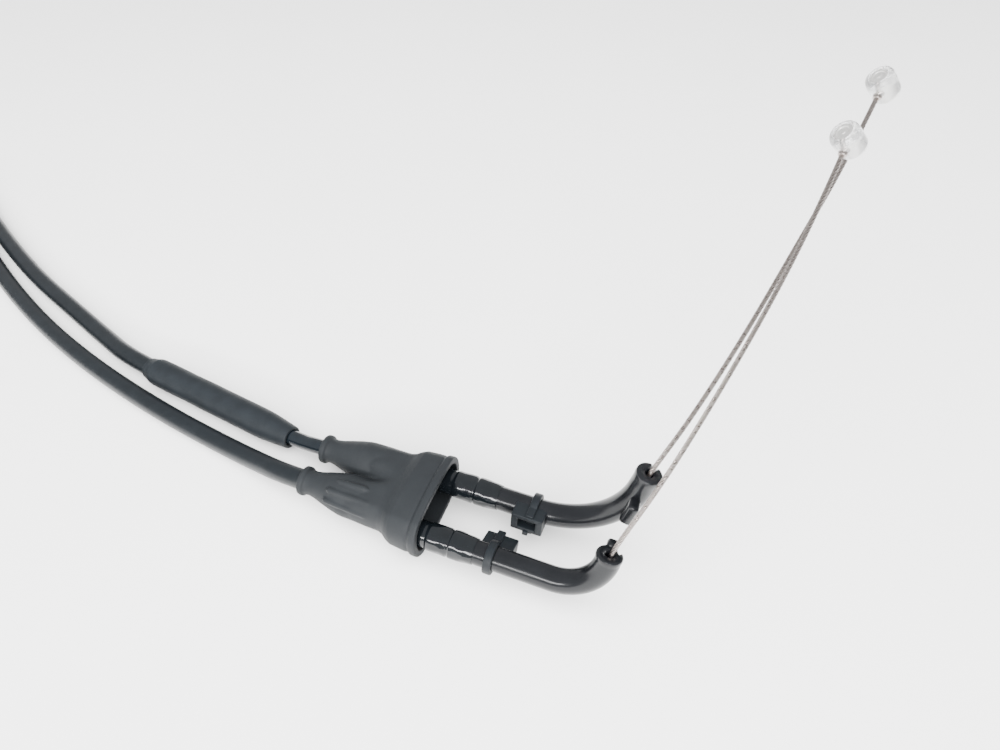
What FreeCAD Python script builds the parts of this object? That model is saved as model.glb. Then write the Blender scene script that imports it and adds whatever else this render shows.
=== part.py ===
"""Grip end of a push-pull motorcycle throttle cable.

Two conduits leave a rubber Y boot, two moulded elbows leave its mouth, and two stranded inner
wires end in cross barrels.  Frame: +X along the elbows, +Y across them, +Z up, millimetres.
The origin is on the table, under the middle of the box round boot, sleeve and elbows.
"""
import FreeCAD, Part
import math
import os
import Sketcher

V = FreeCAD.Vector
doc = FreeCAD.newDocument("ThrottleCable")

# Driving dimensions: alias, value, meaning.
DIMENSIONS = [
    ("mouth_x", 28.0, "open end of the boot"),
    ("axis_z", 8.9, "height of both elbow tubes"),
    ("pull_y", 5.6, "pull elbow axis"),
    ("return_y", -12.2, "return elbow axis"),
    ("boot_length", 38.6, "mouth to the inlet rings"),
    ("boot_wall", 1.5, "rubber wall"),
    ("boot_centre_y", -3.0, "middle of the boot's mouth"),
    ("neck_centre_y", -2.2, "middle of the two inlets"),
    ("neck_z", 8.0, "height of both inlets"),
    ("neck_spacing", 12.0, "between the inlets"),
    ("neck_start_r", 3.55, "neck behind its ring"),
    ("neck_end_r", 6.1, "neck at the shoulder"),
    ("neck_bore_r", 3.3, "inlet bore"),
    ("neck_straight", 3.0, "straight part of a neck"),
    ("neck_cone", 10.5, "widening part of a neck"),
    ("neck_barrel", 10.0, "full part of a neck"),
    ("bead_r", 4.25, "inlet ring"),
    ("bead_width", 1.7, "inlet ring"),
    ("housing_r", 3.0, "cable conduit"),
    ("stem_r", 2.3, "thin conduit between adjuster and boot"),
    ("wire_r", 0.65, "stranded inner wire"),
    ("collar_inner", 7.0, "collar inside the boot"),
    ("collar_r", 3.6, "collar inside the boot"),
    ("collar_neck", 2.0, "collar from the mouth to its step"),
    ("collar_step", 9.0, "thick part of the collar"),
    ("collar_step_r", 4.0, "thick part of the collar"),
    ("collar_taper", 4.0, "tapered end of the collar"),
    ("collar_end_r", 3.75, "small end of the taper"),
    ("collar_bore_r", 3.4, "seat of the elbow in the collar"),
    ("collar_seat", 8.0, "depth of that seat"),
    ("tube_r", 3.3, "elbow tube outside"),
    ("elbow_bore_r", 1.9, "elbow tube inside"),
    ("flare_r", 2.3, "mouth of the elbow's bore"),
    ("flare_depth", 1.6, "mouth of the elbow's bore"),
    ("liner_r", 1.8, "slippery liner outside"),
    ("liner_bore_r", 1.3, "slippery liner inside"),
    ("pull_straight", 18.4, "pull elbow, collar seat to bend"),
    ("pull_bend_r", 26.3, "pull elbow centre line radius"),
    ("pull_bend_angle", 77.0, "pull elbow bend"),
    ("pull_roll", 8.0, "pull elbow lean towards +Y"),
    ("pull_end", 6.0, "straight end of the pull elbow"),
    ("return_straight", 28.6, "return elbow, collar seat to bend"),
    ("return_bend_r", 12.8, "return elbow centre line radius"),
    ("return_bend_angle", 86.0, "return elbow bend"),
    ("return_roll", 20.0, "return elbow lean towards +Y"),
    ("return_end", 1.6, "straight end of the return elbow"),
    ("pull_block_at", 20.3, "pull clip block, distance from the mouth"),
    ("return_block_at", 15.6, "return clip block, distance from the mouth"),
    ("block_length", 8.8, "clip block along the tube"),
    ("pull_block_reach", 6.2, "pull clip block, tube axis to its face"),
    ("return_block_reach", 7.0, "return clip block, tube axis to its face"),
    ("pull_clip_roll", 8.0, "pull clip block, turned about the tube"),
    ("return_clip_roll", 25.0, "return clip block, turned about the tube"),
    ("block_height", 5.8, "clip block"),
    ("window_length", 5.0, "window in the block's face"),
    ("window_height", 3.1, "window in the block's face"),
    ("window_depth", 4.0, "window in the block's face"),
    ("nub_size", 1.5, "nub under the window"),
    ("flange_r", 4.5, "flange ring"),
    ("flange_width", 2.2, "flange ring"),
    ("pull_flange_at", 24.2, "pull flange ring, distance from the mouth"),
    ("return_flange_at", 18.3, "return flange ring, distance from the mouth"),
    ("rib_height", 7.0, "rib of the flange across the block"),
    ("fin_width", 3.0, "fin near the tip, across the tube"),
    ("pull_fin_length", 7.0, "pull fin, along the tube"),
    ("return_fin_length", 4.8, "return fin, along the tube"),
    ("fin_root", 2.6, "fin's root, from the tube axis"),
    ("pull_fin_reach", 3.9, "pull fin, beyond its root"),
    ("return_fin_reach", 2.8, "return fin, beyond its root"),
    ("pull_fin_drop", 14.0, "fin's lower end below the pull tip"),
    ("return_fin_drop", 4.0, "fin's lower end below the return tip"),
    ("sleeve_left_x", -84.1, "outer end of the adjuster sleeve"),
    ("sleeve_left_y", 14.0, "outer end of the adjuster sleeve"),
    ("sleeve_axis_z", 4.85, "sleeve lying on the table"),
    ("sleeve_heading", -8.1, "sleeve direction, degrees from +X"),
    ("sleeve_r", 4.65, "sleeve outside"),
    ("sleeve_bore_r", 4.05, "sleeve inside"),
    ("sleeve_tail", 3.5, "short taper at the outer end"),
    ("sleeve_body", 46.5, "straight part"),
    ("sleeve_nose", 10.0, "taper towards the boot"),
    ("sleeve_tail_r", 3.6, "outer end"),
    ("sleeve_nose_r", 3.5, "end towards the boot"),
    ("sleeve_tail_bore_r", 3.15, "hole round the conduit"),
    ("sleeve_nose_bore_r", 2.7, "hole round the stem"),
    ("cap_r", 3.85, "conduit end cap in the sleeve"),
    ("cap_length", 6.0, "conduit end cap"),
    ("screw_head_length", 3.0, "adjuster screw head"),
    ("screw_length", 17.0, "adjuster screw thread"),
    ("screw_r", 2.5, "adjuster screw thread"),
    ("screw_bore_r", 1.2, "adjuster screw bore"),
    ("lock_nut_r", 3.8, "round lock nut"),
    ("lock_nut_length", 3.0, "round lock nut"),
    ("screw_clearance_r", 2.56, "threaded hole of nut and body"),
    ("barrel_body_r", 3.9, "adjuster body"),
    ("barrel_body_length", 22.0, "adjuster body"),
    ("stem_seat_r", 2.38, "seat of the stem in the adjuster body"),
    ("stem_seat_depth", 6.0, "seat of the stem in the adjuster body"),
    ("cross_r", 3.7, "nylon cap of a cross barrel"),
    ("cross_length", 7.6, "nylon cap of a cross barrel"),
    ("cross_chamfer", 0.7, "rounded edge of the cap"),
    ("cross_edge_r", 3.05, "end face of the cap"),
    ("core_bore_r", 2.35, "bore of the cap"),
    ("core_r", 2.3, "metal core"),
    ("core_length", 7.2, "metal core"),
    ("ferrule_cup", 12.0, "ferrule round the conduit"),
    ("ferrule_cup_r", 4.2, "ferrule round the conduit"),
    ("ferrule_seat", 8.0, "conduit's depth in the ferrule"),
    ("ferrule_seat_r", 3.1, "conduit's seat"),
    ("ferrule_rim", 3.0, "shoulder"),
    ("ferrule_rim_r", 5.2, "shoulder"),
    ("thread_r", 4.0, "M8 thread, crest"),
    ("thread_inner", 16.6, "thread under the jam nuts"),
    ("relief_width", 1.0, "thread relief"),
    ("relief_r", 3.55, "thread relief"),
    ("thread_outer", 7.4, "free thread"),
    ("ferrule_nose", 4.0, "plain nose"),
    ("ferrule_nose_r", 3.0, "plain nose"),
    ("ferrule_bore_r", 1.4, "wire bore"),
    ("seal_grip", 4.2, "dust seal round the nose"),
    ("seal_lip", 3.0, "dust seal beyond the nose"),
    ("seal_r", 3.8, "dust seal"),
    ("seal_lip_r", 2.0, "dust seal's small end"),
    ("seal_bore_r", 3.05, "dust seal round the nose"),
    ("seal_lip_bore_r", 0.95, "dust seal round the wire"),
    ("ferrule_z", 6.55, "ferrule lying on its nuts' flats"),
    ("nut_corner_r", 7.5, "jam nut, 13 across the flats"),
    ("nut_height", 4.0, "thin jam nut"),
    ("nut_ball_r", 7.45, "ball that rounds the nut's corners"),
    ("nut_bore_r", 4.06, "jam nut's thread"),
    ("nut_inner_at", 16.0, "inner jam nut, from the ferrule's end"),
    ("nut_outer_at", 27.0, "outer jam nut, from the ferrule's end"),
    ("stub_start", 8.5, "start of the far wire in the ferrule"),
    ("stub_length", 62.0, "far wire"),
    ("nipple_r", 2.75, "far nipple"),
    ("nipple_length", 5.5, "far nipple"),
    ("coil_x", -252.0, "middle of the coil"),
    ("coil_y", 26.3, "middle of the coil"),
    ("coil_floor", 0.8, "coil's underside"),
    ("coil_height", 12.4, "two layers of conduit"),
    ("coil_outer_r", 55.4, "coil outside"),
    ("coil_inner_r", 27.2, "coil inside"),
    ("tie_width", 9.0, "tie round the coil"),
    ("tie_wall", 0.6, "tie round the coil"),
    ("tie_heading", 150.0, "where the tie is on the coil, degrees"),
]

sizes = doc.addObject("Spreadsheet::Sheet", "Sizes")
for line, (alias, value, meaning) in enumerate(DIMENSIONS, start=1):
    sizes.set("A%d" % line, meaning)
    sizes.set("B%d" % line, str(value))
    sizes.setAlias("B%d" % line, alias)
doc.recompute()
D = {alias: float(getattr(sizes, alias)) for alias, value, meaning in DIMENSIONS}
nodes = []


def keep(thing, label):
    """Name a finished sub-part and put it on the list of nodes."""
    thing.Label = label
    nodes.append(thing)
    return thing


def facing(direction):
    """Rotation that turns local +X to the direction."""
    return FreeCAD.Rotation(V(1, 0, 0), direction)


def upright(direction):
    """Rotation that turns local +Z to the direction."""
    return FreeCAD.Rotation(V(0, 0, 1), direction)


def bind(thing, **cells):
    """Bind properties of an object to cells of the sheet."""
    for name, formula in cells.items():
        thing.setExpression(name, formula)
    return thing


def cell_sum(aliases):
    """The sheet's formula for a sum of cells."""
    return " + ".join("Sizes." + alias for alias in aliases)


def profile_side(steps):
    """Corner list of a stepped outline: (cells that add up to the position, radius cell)."""
    corners = []
    run = []
    for length, first_r, last_r in steps:
        corners.append((tuple(run), first_r))
        run.append(length)
        corners.append((tuple(run), last_r))
    return [c for i, c in enumerate(corners) if i == 0 or c != corners[i - 1]]


def turned(label, outside, inside, place):
    """A turned part: outline sketch with every corner bound to the sheet, revolved about X."""
    body = doc.addObject("PartDesign::Body", label + "_body")
    sketch = body.newObject("Sketcher::SketchObject", label + "_outline")
    plane = next(f for f in body.Origin.OriginFeatures if f.Role == "XY_Plane")
    sketch.AttachmentSupport = [(plane, "")]
    sketch.MapMode = "FlatFace"
    corners = profile_side(outside)
    if inside:
        corners += profile_side(inside)[::-1]
    else:
        corners += [(corners[-1][0], None), ((), None)]
    points = [V(sum(D[a] for a in run), D[r] if r else 0.0, 0) for run, r in corners]
    for i, start in enumerate(points):
        sketch.addGeometry(Part.LineSegment(start, points[(i + 1) % len(points)]))
    for i, (run, radius) in enumerate(corners):
        sketch.addConstraint(Sketcher.Constraint("Coincident", i, 2, (i + 1) % len(corners), 1))
        if run:
            index = sketch.addConstraint(Sketcher.Constraint("DistanceX", i, 1, points[i].x))
            sketch.setExpression("Constraints[%d]" % index, cell_sum(run))
        else:
            sketch.addConstraint(Sketcher.Constraint("PointOnObject", i, 1, -2))
        if radius:
            index = sketch.addConstraint(Sketcher.Constraint("DistanceY", i, 1, points[i].y))
            sketch.setExpression("Constraints[%d]" % index, "Sizes." + radius)
        else:
            sketch.addConstraint(Sketcher.Constraint("PointOnObject", i, 1, -1))
    turn = body.newObject("PartDesign::Revolution", label + "_turn")
    turn.Profile = sketch
    turn.ReferenceAxis = (sketch, ["H_Axis"])
    turn.Angle = 360
    body.Placement = place
    return keep(body, label)


def cylinder(name, radius, height, position, direction):
    """Cylinder whose radius and height are formulas of the sheet."""
    piece = doc.addObject("Part::Cylinder", name)
    bind(piece, Radius=radius, Height=height)
    piece.Placement = FreeCAD.Placement(position, upright(direction))
    return piece


def box(name, length, width, height, position, rotation=FreeCAD.Rotation()):
    """Box whose sides are formulas of the sheet."""
    piece = doc.addObject("Part::Box", name)
    bind(piece, Length=length, Width=width, Height=height)
    piece.Placement = FreeCAD.Placement(position, rotation)
    return piece


def fused(name, pieces):
    union = doc.addObject("Part::MultiFuse", name)
    union.Shapes = pieces
    return union


def cut(name, base, tool):
    rest = doc.addObject("Part::Cut", name)
    rest.Base = base
    rest.Tool = tool
    return rest


# ---- elbows -------------------------------------------------------------------------------
X = V(1, 0, 0)


def elbow_frame(side, axis_y):
    """Start of the tube, start of the bend, its centre and directions, and the tip."""
    roll = math.radians(D[side + "_roll"])
    bend = math.radians(D[side + "_bend_angle"])
    radius = D[side + "_bend_r"]
    up = V(0, math.sin(roll), math.cos(roll))
    seat = D["mouth_x"] + D["collar_neck"] + D["collar_step"] + D["collar_taper"] - D["collar_seat"]
    start = V(seat, axis_y, D["axis_z"])
    bend_start = start + X * D[side + "_straight"]
    centre = bend_start + up * radius
    bend_end = centre - up * (radius * math.cos(bend)) + X * (radius * math.sin(bend))
    heading = X * math.cos(bend) + up * math.sin(bend)
    tip = bend_end + heading * D[side + "_end"]
    return {"start": start, "bend_start": bend_start, "centre": centre, "up": up,
            "bend_end": bend_end, "heading": heading, "tip": tip}


def bent_rod(name, side, frame, radius):
    """Straight run, bend and straight end, all of one radius."""
    first = cylinder(name + "_run", radius, "Sizes.%s_straight" % side, frame["start"], X)
    bend = doc.addObject("Part::Torus", name + "_bend")
    bind(bend, Radius1="Sizes.%s_bend_r" % side, Radius2=radius, Angle3="Sizes.%s_bend_angle" % side)
    inward = -frame["up"]
    bend_turn = FreeCAD.Rotation(inward, X, inward.cross(X), "XYZ")
    bend.Placement = FreeCAD.Placement(frame["centre"], bend_turn)
    last = cylinder(name + "_end", radius, "Sizes.%s_end" % side, frame["bend_end"], frame["heading"])
    return fused(name, [first, bend, last])


def elbow(side, axis_y, inner):
    """Moulded elbow with its flange, clip block and fin.  inner is the side of the other elbow."""
    frame = elbow_frame(side, axis_y)
    name = side + "_elbow"
    tube = bent_rod(name + "_tube", side, frame, "Sizes.tube_r")
    axis = V(D["mouth_x"], axis_y, D["axis_z"])
    clip_turn = FreeCAD.Rotation(X, -D[side + "_clip_roll"])
    reach = D[side + "_block_reach"]

    def clip_box(part, length, depth, height, along, near, below):
        """Box of the clip, given beside the tube before the clip is rolled about the tube's axis."""
        corner = V(along, near, below)
        return box(name + part, length, depth, height, axis + clip_turn.multVec(corner), clip_turn)

    block_at = D[side + "_block_at"]
    block = clip_box("_block", "Sizes.block_length", "Sizes.%s_block_reach" % side, "Sizes.block_height",
                     block_at, min(0, inner * reach), -D["block_height"] / 2)
    flange_at = D[side + "_flange_at"]
    flange = cylinder(name + "_flange", "Sizes.flange_r", "Sizes.flange_width", axis + X * flange_at, X)
    rib = clip_box("_rib", "Sizes.flange_width", "Sizes.%s_block_reach" % side, "Sizes.rib_height",
                   flange_at, min(0, inner * reach), -D["rib_height"] / 2)
    nub = clip_box("_nub", "Sizes.nub_size", "Sizes.nub_size", "Sizes.nub_size",
                   block_at + (D["block_length"] - D["nub_size"]) / 2,
                   inner * reach - D["nub_size"] / 2, -(D["block_height"] + D["nub_size"]) / 2)
    window = clip_box("_window", "Sizes.window_length", "Sizes.window_depth", "Sizes.window_height",
                      block_at + (D["block_length"] - D["window_length"]) / 2,
                      min(inner * reach, inner * (reach - D["window_depth"])), -D["window_height"] / 2)
    across = V(0, inner, 0) - frame["heading"] * (frame["heading"].y * inner)
    across.normalize()
    fin_x = across.cross(frame["heading"])
    foot = (frame["tip"] - frame["heading"] * D[side + "_fin_drop"] - fin_x * (D["fin_width"] / 2)
            + across * D["fin_root"])
    fin = box(name + "_fin", "Sizes.fin_width", "Sizes.%s_fin_reach" % side,
              "Sizes.%s_fin_length" % side, foot,
              FreeCAD.Rotation(fin_x, across, frame["heading"], "XYZ"))
    bore = bent_rod(name + "_bore", side, frame, "Sizes.elbow_bore_r")
    flare = doc.addObject("Part::Cone", name + "_flare")
    bind(flare, Radius1="Sizes.elbow_bore_r", Radius2="Sizes.flare_r", Height="Sizes.flare_depth")
    flare.Placement = FreeCAD.Placement(frame["tip"] - frame["heading"] * D["flare_depth"],
                                        upright(frame["heading"]))
    solid = fused(name + "_solid", [tube, block, flange, rib, nub, fin])
    hollow = fused(name + "_hollow", [bore, window, flare])
    keep(cut(name + "_cut", solid, hollow), name)
    lining = bent_rod(side + "_lining_outside", side, frame, "Sizes.liner_r")
    lining_bore = bent_rod(side + "_lining_bore", side, frame, "Sizes.liner_bore_r")
    trim = cylinder(side + "_lining_trim", "Sizes.flare_r", "Sizes.flare_depth",
                    frame["tip"] - frame["heading"] * D["flare_depth"], frame["heading"])
    tools = fused(side + "_lining_tools", [lining_bore, trim])
    keep(cut(side + "_liner_cut", lining, tools), side + "_elbow_liner")
    return frame


pull_frame = elbow("pull", D["pull_y"], -1)
return_frame = elbow("return", D["return_y"], 1)

# ---- crimped collars between conduit and elbow ----------------------------------------------
for side in ("pull", "return"):
    collar_start = V(D["mouth_x"] - D["collar_inner"], D[side + "_y"], D["axis_z"])
    outside = [("collar_inner", "collar_r", "collar_r"), ("collar_neck", "collar_r", "collar_r"),
               ("collar_step", "collar_step_r", "collar_step_r"),
               ("collar_taper", "collar_step_r", "collar_end_r")]
    inside = [(length, "liner_bore_r", "liner_bore_r") for length, start_r, end_r in outside]
    body = turned(side + "_collar_blank", outside, inside,
                  FreeCAD.Placement(collar_start, FreeCAD.Rotation()))
    nodes.remove(body)
    seat = cylinder(side + "_collar_seat", "Sizes.collar_bore_r", "Sizes.collar_seat + 1",
                    V((pull_frame if side == "pull" else return_frame)["start"]), X)
    keep(cut(side + "_collar_cut", body, seat), side + "_collar")


# ---- rubber Y boot --------------------------------------------------------------------------
def boot_y(from_mouth):
    """Centre line of the boot, which leans slightly from its mouth to its inlets."""
    return D["boot_centre_y"] + (D["neck_centre_y"] - D["boot_centre_y"]) * from_mouth / D["boot_length"]


def oblong(x, width, height, centre_z):
    """Wire round a slot-shaped section across X."""
    half = height / 2
    reach = width / 2 - half
    y = boot_y(D["mouth_x"] - x)
    points = {"left": y - reach, "right": y + reach}
    top = Part.LineSegment(V(x, points["left"], centre_z + half),
                           V(x, points["right"], centre_z + half))
    right = Part.Arc(V(x, points["right"], centre_z + half), V(x, points["right"] + half, centre_z),
                     V(x, points["right"], centre_z - half))
    bottom = Part.LineSegment(V(x, points["right"], centre_z - half),
                              V(x, points["left"], centre_z - half))
    left = Part.Arc(V(x, points["left"], centre_z - half), V(x, points["left"] - half, centre_z),
                    V(x, points["left"], centre_z + half))
    return Part.Wire([top.toShape(), right.toShape(), bottom.toShape(), left.toShape()])


# Sections of the boot from the shoulder to the mouth: distance from the mouth, width, height.
BOOT_SECTIONS = [(29.5, 22.5, 10.4), (24.0, 24.2, 12.2), (14.5, 25.0, 13.2),
                 (9.5, 28.8, 16.2), (2.4, 29.4, 16.8)]
BOOT_LIP = (30.2, 17.8)


def boot_z(from_mouth):
    """Height of the boot's centre line: level with the elbows at the mouth, with the inlets behind."""
    return D["axis_z"] - (D["axis_z"] - D["neck_z"]) * from_mouth / D["boot_length"]


def boot():
    mouth = D["mouth_x"]
    wall = D["boot_wall"]
    outer = [oblong(mouth - back, width, height, boot_z(back)) for back, width, height in BOOT_SECTIONS]
    shell = Part.makeLoft(outer, True, True)
    lip_back = BOOT_SECTIONS[-1][0]
    lip_ends = [oblong(mouth - lip_back, *BOOT_LIP, D["axis_z"]), oblong(mouth, *BOOT_LIP, D["axis_z"])]
    lip = Part.makeLoft(lip_ends, True, True)
    shell = shell.fuse(lip)
    start = mouth - D["boot_length"]
    for end in (-1, 1):
        y = D["neck_centre_y"] + end * D["neck_spacing"] / 2
        base = V(start, y, D["neck_z"])
        shell = shell.fuse(Part.makeCylinder(D["neck_start_r"], D["neck_straight"], base, X))
        cone_base = base + X * D["neck_straight"]
        cone = Part.makeCone(D["neck_start_r"], D["neck_end_r"], D["neck_cone"], cone_base, X)
        shell = shell.fuse(cone)
        barrel_base = cone_base + X * D["neck_cone"]
        shell = shell.fuse(Part.makeCylinder(D["neck_end_r"], D["neck_barrel"], barrel_base, X))
        bead_base = base - X * (D["bead_width"] / 2)
        shell = shell.fuse(Part.makeCylinder(D["bead_r"], D["bead_width"], bead_base, X))
    inner = [oblong(mouth - back, width - 2 * wall, height - 2 * wall, boot_z(back))
             for back, width, height in BOOT_SECTIONS]
    inner.append(oblong(mouth + 1, BOOT_LIP[0] - 2 * wall, BOOT_LIP[1] - 2 * wall, D["axis_z"]))
    hollow = Part.makeLoft(inner, True, True)
    for end in (-1, 1):
        y = D["neck_centre_y"] + end * D["neck_spacing"] / 2
        base = V(start - D["bead_width"], y, D["neck_z"])
        deep = D["neck_straight"] + D["bead_width"]
        hollow = hollow.fuse(Part.makeCylinder(D["neck_bore_r"], deep, base, X))
        hollow = hollow.fuse(Part.makeCone(D["neck_bore_r"], D["neck_end_r"] - wall, D["neck_cone"],
                                           base + X * deep, X))
        hollow = hollow.fuse(Part.makeCylinder(D["neck_end_r"] - wall, D["neck_barrel"],
                                               base + X * (deep + D["neck_cone"]), X))
    piece = doc.addObject("Part::Feature", "y_boot_shape")
    piece.Shape = shell.cut(hollow).removeSplitter()
    keep(piece, "y_boot")


boot()


# ---- conduits, stem and exposed wires: straight runs joined by tangent arcs ------------------
def rounded_route(name, points):
    """Wire along the route, each corner an arc as large as its two runs allow."""
    edges = []
    radii = []
    at = points[0]
    for i in range(1, len(points) - 1):
        before = points[i] - points[i - 1]
        after = points[i + 1] - points[i]
        turn = before.getAngle(after)
        trim = 0.45 * min(before.Length, after.Length)
        radii.append(trim / math.tan(turn / 2))
        into = V(before).normalize()
        out = V(after).normalize()
        begin = points[i] - into * trim
        end = points[i] + out * trim
        middle_way = (out - into).normalize()
        centre = points[i] + middle_way * (radii[-1] / math.cos(turn / 2))
        edges.append(Part.LineSegment(at, begin).toShape())
        edges.append(Part.Arc(begin, centre - middle_way * radii[-1], end).toShape())
        at = end
    edges.append(Part.LineSegment(at, points[-1]).toShape())
    path = Part.Wire(edges)
    print("%s: length %.1f, radii %s" % (name, path.Length, " ".join("%.0f" % r for r in radii)))
    return path


def routed(label, points, radius):
    """Tube along a route, checked against its section times its length."""
    points = [V(*p) for p in points]
    path = rounded_route(label, points)
    section = Part.Wire([Part.makeCircle(radius, points[0], points[1] - points[0])])
    tube = path.makePipeShell([section], True, True)
    expected = math.pi * radius ** 2 * path.Length
    if abs(tube.Volume / expected - 1) > 0.01:
        raise RuntimeError("%s: volume %.1f, expected %.1f" % (label, tube.Volume, expected))
    piece = doc.addObject("Part::Feature", label + "_shape")
    piece.Shape = tube
    return keep(piece, label)


sleeve_angle = math.radians(D["sleeve_heading"])
sleeve_way = V(math.cos(sleeve_angle), math.sin(sleeve_angle), 0)
sleeve_start = V(D["sleeve_left_x"], D["sleeve_left_y"], D["sleeve_axis_z"])


def in_sleeve(distance):
    """A point on the sleeve's axis, from its outer end."""
    return sleeve_start + sleeve_way * distance


neck_y = {"pull": D["neck_centre_y"] + D["neck_spacing"] / 2,
          "return": D["neck_centre_y"] - D["neck_spacing"] / 2}
collar_face = D["mouth_x"] - D["collar_inner"] - 0.5
# Distances along the sleeve: end of the conduit, start of the adjuster body, first bend of the stem.
CONDUIT_IN_SLEEVE = 9.0
BODY_IN_SLEEVE = 28.0
STEM_BEND_IN_SLEEVE = 62.0
body_end = BODY_IN_SLEEVE + D["barrel_body_length"]
stem_start = in_sleeve(body_end - D["stem_seat_depth"] + 0.3)
stem_run = in_sleeve(STEM_BEND_IN_SLEEVE)
routed("pull_stem",
       [stem_start, stem_run, (-12.5, neck_y["pull"], D["neck_z"]),
        (6.0, neck_y["pull"] + 0.3, D["neck_z"] + 0.3), (collar_face, D["pull_y"] - 0.2, D["axis_z"])],
       D["stem_r"])
routed("return_end_ferrule",
       [(-7.7, neck_y["return"], D["neck_z"]), (6.5, neck_y["return"] - 0.9, D["neck_z"] + 0.3),
        (collar_face - 0.8, D["return_y"] + 0.3, D["axis_z"])], D["housing_r"] - 0.1)

PULL_ROUTE = [(-93.5, 15.4, 4.75), (-110.0, 21.4, 3.2), (-131.0, 28.9, 3.1), (-157.0, 38.1, 3.1),
              (-184.0, 50.5, 3.1), (-206.0, 61.8, 3.4)]
RETURN_ROUTE = [(-8.0, neck_y["return"], 8.0), (-18.0, -8.1, 7.6), (-29.0, -5.8, 4.9), (-43.0, -3.3, 3.1),
                (-66.0, 0.2, 3.1), (-90.0, 5.2, 3.1), (-114.0, 11.6, 3.1), (-138.0, 19.8, 3.1),
                (-162.0, 30.1, 3.1), (-184.0, 41.1, 3.1), (-206.0, 53.3, 3.8)]
coil_middle = V(D["coil_x"], D["coil_y"], 0)
ENTRY_ANGLE = 64.4


def on_coil(radius, angle, height):
    """A point beside the coil, by radius and angle."""
    a = math.radians(angle)
    return coil_middle + V(radius * math.cos(a), radius * math.sin(a), height)


def tangent(angle):
    """Direction of travel on the coil at this angle, anticlockwise."""
    a = math.radians(angle)
    return V(-math.sin(a), math.cos(a), 0)


routed("pull_housing", [in_sleeve(CONDUIT_IN_SLEEVE)] + PULL_ROUTE
       + [on_coil(52.0, ENTRY_ANGLE, 3.8) - tangent(ENTRY_ANGLE) * 6], D["housing_r"])
routed("return_housing", RETURN_ROUTE + [on_coil(45.7, ENTRY_ANGLE, 3.8) - tangent(ENTRY_ANGLE) * 18],
       D["housing_r"])

turned("cable_coil", [("coil_height", "coil_outer_r", "coil_outer_r")],
       [("coil_height", "coil_inner_r", "coil_inner_r")],
       FreeCAD.Placement(coil_middle + V(0, 0, D["coil_floor"]), facing(V(0, 0, 1))))

TIE_GAP = 0.15
tie_turn = FreeCAD.Rotation(V(0, 0, 1), D["tie_heading"])


def tie_box(name, margin, width):
    """Box round the coil's section, larger than it by the margin."""
    corner = V(D["coil_inner_r"] - margin, -D["tie_width"] / 2 - width, D["coil_floor"] - margin)
    return box(name, "Sizes.coil_outer_r - Sizes.coil_inner_r + %.3f" % (2 * margin),
               "Sizes.tie_width + %.3f" % (2 * width), "Sizes.coil_height + %.3f" % (2 * margin),
               coil_middle + tie_turn.multVec(corner), tie_turn)


keep(cut("coil_tie_cut", tie_box("tie_outside", TIE_GAP + D["tie_wall"], 0),
         tie_box("tie_inside", TIE_GAP, 1.0)), "coil_tie")

# ---- adjuster in its sleeve -----------------------------------------------------------------
sleeve_turn = facing(sleeve_way)
turned("adjuster_sleeve",
       [("sleeve_tail", "sleeve_tail_r", "sleeve_r"), ("sleeve_body", "sleeve_r", "sleeve_r"),
        ("sleeve_nose", "sleeve_r", "sleeve_nose_r")],
       [("sleeve_tail", "sleeve_tail_bore_r", "sleeve_bore_r"),
        ("sleeve_body", "sleeve_bore_r", "sleeve_bore_r"),
        ("sleeve_nose", "sleeve_bore_r", "sleeve_nose_bore_r")],
       FreeCAD.Placement(sleeve_start, sleeve_turn))
cap_at = CONDUIT_IN_SLEEVE - 3.0
turned("conduit_end_cap",
       [("cap_length", "cap_r", "cap_r")], [("cap_length", "ferrule_seat_r", "ferrule_seat_r")],
       FreeCAD.Placement(in_sleeve(cap_at), sleeve_turn))
screw_at = cap_at + D["cap_length"] + 0.1
turned("adjuster_screw",
       [("screw_head_length", "cap_r", "cap_r"), ("screw_length", "screw_r", "screw_r")],
       [("screw_head_length", "screw_bore_r", "screw_bore_r"),
        ("screw_length", "screw_bore_r", "screw_bore_r")],
       FreeCAD.Placement(in_sleeve(screw_at), sleeve_turn))
lock_at = BODY_IN_SLEEVE - D["lock_nut_length"] - 0.1
turned("adjuster_lock_nut",
       [("lock_nut_length", "lock_nut_r", "lock_nut_r")],
       [("lock_nut_length", "screw_clearance_r", "screw_clearance_r")],
       FreeCAD.Placement(in_sleeve(lock_at), sleeve_turn))
body = turned("adjuster_body_blank",
              [("barrel_body_length", "barrel_body_r", "barrel_body_r")],
              [("barrel_body_length", "screw_bore_r", "screw_bore_r")],
              FreeCAD.Placement(in_sleeve(BODY_IN_SLEEVE), sleeve_turn))
nodes.remove(body)
thread_hole = cylinder("adjuster_thread_hole", "Sizes.screw_clearance_r", "Sizes.screw_length - 3",
                       in_sleeve(BODY_IN_SLEEVE - 1), sleeve_way)
stem_hole = cylinder("adjuster_stem_hole", "Sizes.stem_seat_r", "Sizes.stem_seat_depth + 1",
                     in_sleeve(body_end - D["stem_seat_depth"]), sleeve_way)
keep(cut("adjuster_body_cut", body, fused("adjuster_holes", [thread_hole, stem_hole])), "adjuster_body")

# ---- exposed inner wires and their cross barrels --------------------------------------------
RETURN_WIRE = [(84.1, 6.5, 37.2), (91.9, 30.4, 52.4), (98.4, 53.3, 67.5), (102.7, 73.8, 81.7)]
PULL_WIRE = [(86.2, 23.3, 42.2), (93.4, 44.8, 54.0), (100.2, 68.9, 67.4), (106.6, 91.3, 80.0)]
CROSS_AT = {"return": V(104.3, 83.7, 88.4), "pull": V(110.5, 110.1, 91.7)}
CROSS_HEADING = V(-0.66, -0.78, 0.49)
CROSS_GAP = 0.3


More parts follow.
